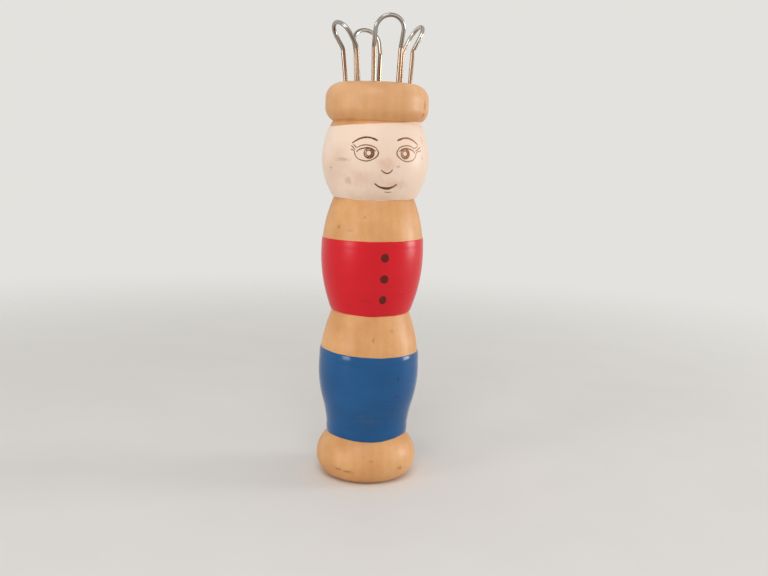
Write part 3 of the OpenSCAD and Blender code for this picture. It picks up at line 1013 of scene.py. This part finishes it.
ring_turns = [full_turn * i / iris_steps for i in range(iris_steps + 1)]
lines = []
for middle, facing, lash_reach in ((left_eye, 1, 1.0), (right_eye, -1, 1.7)):
    for name, (press, points) in eye_lines.items():
        if "lash" in name:
            points = [(lash_root + (x - lash_root) * lash_reach, y) for x, y in points]
        lines.append(pen_line([middle + Vector((facing * x, y, 0)) for x, y in points], press))
    iris = middle + Vector((facing * iris_aside, 0, 0))
    for radius, light, full in iris_rings:
        pressed = [light + (full - light) * ink_weight(a) for a in ring_turns]
        ring_line = [iris + Vector((sin(a), cos(a), 0)) * radius for a in ring_turns]
        lines.append((ring_line, [pen_width / 2 * press for press in pressed]))
    iris_draw = random.Random(11).uniform
    for i in range(iris_strokes):
        a = full_turn * (i + iris_draw(-0.3, 0.3)) / iris_strokes
        start = light_r + iris_draw(0.0, 0.3)
        way = Vector((sin(a), cos(a), 0))
        stroke = [iris + way * (start + (iris_r - start) * t) for t in (0, 0.5, 1)]
        lines.append(pen_line(stroke, 0.45 + 0.35 * ink_weight(a)))
for press, points in middle_lines.values():
    lines.append(pen_line([on_sheet(angle, height) for angle, height in points], press))
print(len(lines), "pen lines")

# %% Lay the ink on the head
pen_tree, given, add = open_tree("pen_lines", Float=["Step"], Object=["Surface"], Material=["Material"])
pen_reach = 0.1 * MM
ink_proud = 0.03 * MM
ink_under = (coat + 0.02) * MM
smooth_line = add("GeometryNodeCurveSplineType", {0: given["Geometry"]}, spline_type="CATMULL_ROM")
even_line = add("GeometryNodeResampleCurve", {0: smooth_line, "Length": given["Step"]}, mode="LENGTH")
pen_oval = add(CIRCLE, {"Resolution": 10, "Radius": MM})
press = add("GeometryNodeInputRadius")
pen_body = add(SWEEP, {"Curve": even_line, "Profile Curve": pen_oval, "Scale": press, "Fill Caps": True})
flat = add(SPLIT, {0: add(PLACE)}).outputs
ink_film = add(RANGE, {
    "Value": flat["Z"], "From Min": -pen_reach, "From Max": pen_reach,
    "To Min": -ink_proud, "To Max": ink_proud,
})
ink_place = add(JOIN, {"X": flat["X"], "Y": flat["Y"], "Z": ink_film})
thin = add(MOVE, {0: pen_body, "Position": ink_place})
close_tree(add, lay_on(add, thin, given["Surface"], ink_under), given["Material"])

face = grow("pen_face", pen_tree, {
    "Surface": wood,
    "Step": 0.12 * MM,
    "Material": pen_ink(),
}, draw_curve("pen_strokes", lines))
finish_piece(face, "face_ink")

# %% [markdown]
# ## Drawn steel wire
# The loops are drawn steel. Yarn keeps their crowns bright, and the legs are brown towards the cap, partly
# from tarnish and partly as a painted reflection of the wooden cap.
# The die leaves hair lines along the wire, so a reflection is sharp along it and a little spread across
# it. The tree stored how far along and how far round each vertex lies, and the lines are noise,
# stretched the long way.


# %% Drawn steel wire
def drawn_steel():
    """Drawn steel wire: a lined grey mirror at the crowns; legs brown with tarnish and painted cap
    reflection.
    """
    material, shader, add = open_material("steel_wire_drawn_bright")
    along = add("ShaderNodeAttribute", attribute_name="along").outputs["Fac"]
    around = add("ShaderNodeAttribute", attribute_name="around").outputs["Fac"]
    # Lines 16 mm long and a twelfth of the way round, coarser than real ones so that they show
    far = add(MATH, {0: along, 1: 1 / (16 * MM)}, "MULTIPLY")
    wide = add(MATH, {0: around, 1: 12.0}, "MULTIPLY")
    drawn = add(JOIN, {"X": wide, "Y": far})
    hair = add(NOISE, {"Vector": drawn, "Scale": 1.0, "Detail": 1.0})
    lined = add(RANGE, {"Value": hair, "From Min": 0.34, "From Max": 0.66})
    # Legs: tarnish and a painted reflection of the wooden cap; crowns: bright grey steel
    brown = layered(add, "#5C3E2E", [(lined, "#C6AA90")])
    bright = layered(add, "#6C6662", [(lined, "#D6D2CC")])
    # The brown tarnish and painted reflection of the cap fade out between 7 and 13.5 mm above the cap
    level = add(SPLIT, {0: in_millimetres(add)}).outputs["Z"]
    crown = add(RANGE, {"Value": level, "From Min": doll_h + 7, "From Max": doll_h + 13.5})
    fill(shader, {
        "Base Color": add(MIX, {"Factor": crown, 6: brown, 7: bright}, data_type="RGBA").outputs[2],
        "Roughness": add(RANGE, {"Value": hair, "To Min": 0.1, "To Max": 0.26}),
        "Metallic": 1.0,
        "Normal": add(BUMP, {"Height": hair, "Strength": 0.1, "Distance": 0.01 * MM}),
    })
    return material


steel = drawn_steel()
for name, path in paths.items():
    finish_piece(sweep(name + "_wire", [path], wire_r, steel), name)

# %% [markdown]
# ## Floor, light and background
# The doll stands on a plain pale floor that fades into an equally pale background, so no horizon shows
# from any side. Two soft lamps stand low to the left and the right, where the photograph's highlights
# lie on the paint, a third stands above in front, and the background does the rest.


# %% Floor and background
def pale_floor():
    """A matt pale board that turns clear far from the doll."""
    material, shader, add = open_material("board_matt_pale")
    place = in_millimetres(add)
    # Soft patches of about 30 mm
    tooth = add(NOISE, {"Vector": place, "Scale": 1 / 30, "Detail": 4.0})
    fill(shader, {
        "Base Color": layered(add, "#E3E0DB", [(tooth, "#EAE7E2")]),
        "Roughness": 0.7,
        "Specular IOR Level": 0.2,
    })
    far = add(VECTOR, {0: place}, "LENGTH").outputs["Value"]
    gone = add(RANGE, {"Value": far, "From Min": 110.0, "From Max": 420.0}, **SOFT)
    clear = add("ShaderNodeBsdfTransparent")
    seen = add("ShaderNodeMixShader", {0: gone, 1: shader, 2: clear})
    fill(material.node_tree.nodes["Material Output"], {"Surface": seen})
    return material


floor_r = 500
floor_sides = 96
floor_mesh = bpy.data.meshes.new("floor")
floor_shape = bmesh.new()
bmesh.ops.create_circle(floor_shape, cap_ends=True, segments=floor_sides, radius=floor_r * MM)
floor_shape.to_mesh(floor_mesh)
floor_shape.free()
floor_mesh.materials.append(pale_floor())
floor = put("floor", floor_mesh)

world = bpy.data.worlds.new("studio")
world.use_nodes = True
scene.world = world
world.node_tree.nodes.clear()
add = partial(add_to, world.node_tree)
ray_kind = add("ShaderNodeLightPath").outputs
mirrored = add(MATH, {0: ray_kind["Is Camera Ray"], 1: ray_kind["Is Glossy Ray"]}, "ADD")
seen = add(MATH, {0: mirrored, 1: ray_kind["Is Transmission Ray"]}, "ADD", use_clamp=True)
daylight = add("ShaderNodeBackground", {"Color": srgb("#FFFFFF"), "Strength": 0.53})
backdrop = add("ShaderNodeBackground", {"Color": srgb("#E4E2DE")})
both = add("ShaderNodeMixShader", {0: seen, 1: daylight, 2: backdrop})
add("ShaderNodeOutputWorld", {"Surface": both})
print("floor and background are in place")

# %% Lamps
lamp_aim = Vector((0, 0, 60 * MM))
lamp_far = 600
lamps = {"right_lamp": (82, 6, 200, 1.5), "left_lamp": (-66, 7, 190, 0.78), "top_lamp": (-18, 50, 300, 1.1)}
for name, (angle, rise, size, watts) in lamps.items():
    turn, up = radians(angle), radians(rise)
    away = Vector((sin(turn) * cos(up), -cos(turn) * cos(up), sin(up)))
    light = bpy.data.lights.new(name, "AREA")
    light.size = size * MM
    light.energy = watts
    holder = put(name, light)
    holder.location = lamp_aim + away * lamp_far * MM
    holder.rotation_euler = away.to_track_quat("Z", "Y").to_euler()
    print(name, watts, "W at", [round(v / MM) for v in holder.location])
